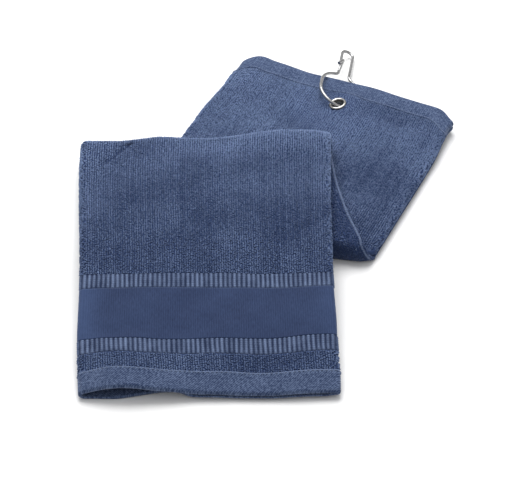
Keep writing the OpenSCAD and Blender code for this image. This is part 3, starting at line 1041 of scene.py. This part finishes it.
def warp_line(u, t):
    """The plain band's warp threads, from 0 between them to 1 on top."""
    return 0.5 + 0.5 * np.sin((u + 0.1 * waves(u, t, 20, 46)) * math.tau / WARP_PITCH)


def band_threads_and_highlights(u, t):
    """How light the plain band is: its warp threads, and painted highlights along both side folds."""
    left = painted_light_patch(u, t, (2 - STRIP, BAND_START + PLAIN / 2), (10, 60))
    right = painted_light_patch(u, t, (0, BAND_START + PLAIN / 2), (12, 60))
    return 0.8 * warp_line(u, t) + 1.3 * left + 0.8 * right


band = cloth_piece("plain_band_cloth", upper_run, u_samples(0.33, 2.4),
                   np.linspace(BAND_START, RIB_2, 46),
                   lambda u, t: BAND_TOP + 0.06 * warp_line(u, t), level=band_threads_and_highlights)
dress(band, "plain_weave", "upper_run", "plain_band")

border = cloth_piece("border_terry_cloth", upper_run, upper_u,
                     np.linspace(BORDER_START, UPPER_HEM_START, 14), ground)
dress(border, "terry", "upper_run", "border_terry")
border_pile = pile("border_pile", upper_run, (U_BACK - 1, U_RIGHT),
                   (BORDER_START + 0.6, UPPER_HEM_START - 0.2), TERRY_PITCH, 37, border_painted_shade,
                   rough=0.9)
dress(border_pile, "terry", "upper_run")


def free_end(u):
    """The back and inner plies end a little short of the front one."""
    x = section(u)[0]
    short = np.where(u < U_BACK, 5.5 * ease((x + STRIP - 14) / 38), 0.0)
    return UPPER_LEN - short - np.where(u > U_RIGHT, 5.0 * ease((-x - 80) / 20) - 0.4, 0.0)


def free_hem_rows(u):
    """Rows that end where each ply does."""
    end = free_end(u)
    return [row - (UPPER_LEN - end) * (row - UPPER_HEM_START) / HEM
            for row in hem_rows(UPPER_HEM_START, UPPER_LEN)]


def hem_edge_highlight(u, t):
    """The fuzzy turned-in edge along the seam, raised and lit: a painted highlight."""
    return hump(t, UPPER_HEM_START + 0.5, 0.6) * (0.7 + 0.3 * waves(u, t, 7, 47))


free_hem = cloth_piece("free_end_hem_cloth", upper_run, hem_u, free_hem_rows(padded_u(hem_u)),
                       hem_face(UPPER_HEM_START, UPPER_LEN), level=hem_edge_highlight)
dress(free_hem, "hem_weave", "upper_run", "free_end_hem")

# ---- stitching ----

STITCH_PITCH = 2.6
STITCH_LEN = 2.2
STITCH_TOP = HEM_TOP + 0.42
STITCH_ARCH = 0.75                          # how deep a stitch's ends go into the cloth
STITCH_STEPS = np.linspace(0, 1, 7)
THREAD_R = 0.17
THREAD_SIDES = 6


def stitching(name, surface, seam):
    """A row of short thread stitches that sink into the seam at both ends."""
    points, cloth, quads = [], [], []
    for start in np.arange(U_BACK + 2, U_RIGHT - 2, STITCH_PITCH):
        base = len(points)
        for share in STITCH_STEPS:
            u = start + share * STITCH_LEN
            arch = STITCH_TOP - STITCH_ARCH * (2 * share - 1) ** 4
            for side in range(THREAD_SIDES):
                turn = side * math.tau / THREAD_SIDES
                points.append((u, seam + THREAD_R * math.cos(turn), arch + THREAD_R * math.sin(turn)))
                cloth.append((u, seam, 1.0))
        for ring in range(len(STITCH_STEPS) - 1):
            for side in range(THREAD_SIDES):
                a = base + ring * THREAD_SIDES + side
                b = base + ring * THREAD_SIDES + (side + 1) % THREAD_SIDES
                quads.append((a, a + THREAD_SIDES, b + THREAD_SIDES, b))
    points = np.array(points)
    places = surface(points[:, 0], points[:, 1], points[:, 2])
    loops, firsts = quads_to_loops(np.array(quads))
    return make_object(name, places, loops, firsts, np.array(cloth))


dress(stitching("hook_end_stitches", lower_run, LOWER_HEM_START + SEAM_INSET),
      "thread", "folded_base", "hook_end_stitching")
dress(stitching("free_end_stitches", upper_run, UPPER_HEM_START + SEAM_INSET),
      "thread", "upper_run", "free_end_stitching")

# ---- the hardware keeps its CAD shapes ----

for name in ("eyelet", "eyelet_washer", "hook_wire", "hook_gate"):
    node = frame["nodes"][name]
    finish = MATERIALS["hook_wire" if name.startswith("hook") else "eyelet_nickel"]
    node.data.materials.clear()
    node.data.materials.append(finish)

# ---- floor, light and camera ----

FLOOR_HALF = 6.0
SKY_STRENGTH = 0.68
KEY_PLACE = Vector((-0.08, 0.39, 0.80))
KEY_AIM = Vector((0, 0.02, 0))
KEY_SIZE = 0.8
KEY_POWER = 9.6
LENS = 192.5                                # on a sensor 36 mm wide
CAMERA_DISTANCE = 1.607
CAMERA_ELEVATION = math.radians(42)
AIM_FORWARD = 78.0                          # from the top fold to the point looked at


def make_stage():
    """A white table that the towel lies on."""
    mesh = bpy.data.meshes.new("floor")
    corners = [(x * FLOOR_HALF, y * FLOOR_HALF, 0) for x, y in ((-1, -1), (1, -1), (1, 1), (-1, 1))]
    mesh.from_pydata(corners, [], [(0, 1, 2, 3)])
    floor = bpy.data.objects.new("floor", mesh)
    bpy.context.scene.collection.objects.link(floor)
    material, nodes, links, shader = principled("floor")
    shader.inputs["Base Color"].default_value = (0.88, 0.88, 0.88, 1)
    shader.inputs["Roughness"].default_value = 0.9
    shader.inputs["Specular IOR Level"].default_value = 0.1
    mesh.materials.append(material)


def make_light():
    """A pale sky, dimmer toward the horizon, and one large soft light behind."""
    world = bpy.data.worlds.new("studio")
    world.use_nodes = True
    nodes, links = world.node_tree.nodes, world.node_tree.links
    split = nodes.new("ShaderNodeSeparateXYZ")
    links.new(nodes.new("ShaderNodeTexCoord").outputs["Generated"], split.inputs[0])
    fade = nodes.new("ShaderNodeMapRange")
    fade.interpolation_type = "SMOOTHSTEP"
    for name, value in (("From Min", 0.0), ("From Max", 0.5), ("To Min", 0.5), ("To Max", 1.0)):
        fade.inputs[name].default_value = value
    links.new(split.outputs["Z"], fade.inputs["Value"])
    links.new(fade.outputs["Result"], nodes["Background"].inputs["Color"])
    nodes["Background"].inputs["Strength"].default_value = SKY_STRENGTH
    bpy.context.scene.world = world
    light = bpy.data.lights.new("key", "AREA")
    light.shape = "DISK"
    light.size = KEY_SIZE
    light.energy = KEY_POWER
    lamp = bpy.data.objects.new("key", light)
    lamp.location = KEY_PLACE
    lamp.rotation_euler = (KEY_AIM - KEY_PLACE).to_track_quat("-Z", "Y").to_euler()
    bpy.context.scene.collection.objects.link(lamp)


def make_camera():
    """A long lens, looking down at the upper run's drop."""
    camera = bpy.data.cameras.new("camera")
    camera.lens = LENS
    camera.sensor_width = 36.0
    camera.sensor_fit = "HORIZONTAL"
    camera.clip_start = 0.05
    holder = bpy.data.objects.new("camera", camera)
    aim = Vector((UPPER_RIGHT - STRIP / 3, AXIS[1] - AIM_FORWARD, 0)) * MM
    away = Vector((0, -math.cos(CAMERA_ELEVATION), math.sin(CAMERA_ELEVATION)))
    holder.location = aim + CAMERA_DISTANCE * away
    holder.rotation_euler = (aim - holder.location).to_track_quat("-Z", "Y").to_euler()
    bpy.context.scene.collection.objects.link(holder)
    bpy.context.scene.camera = holder


make_stage()
make_light()
make_camera()
bpy.context.scene.view_settings.view_transform = "Standard"
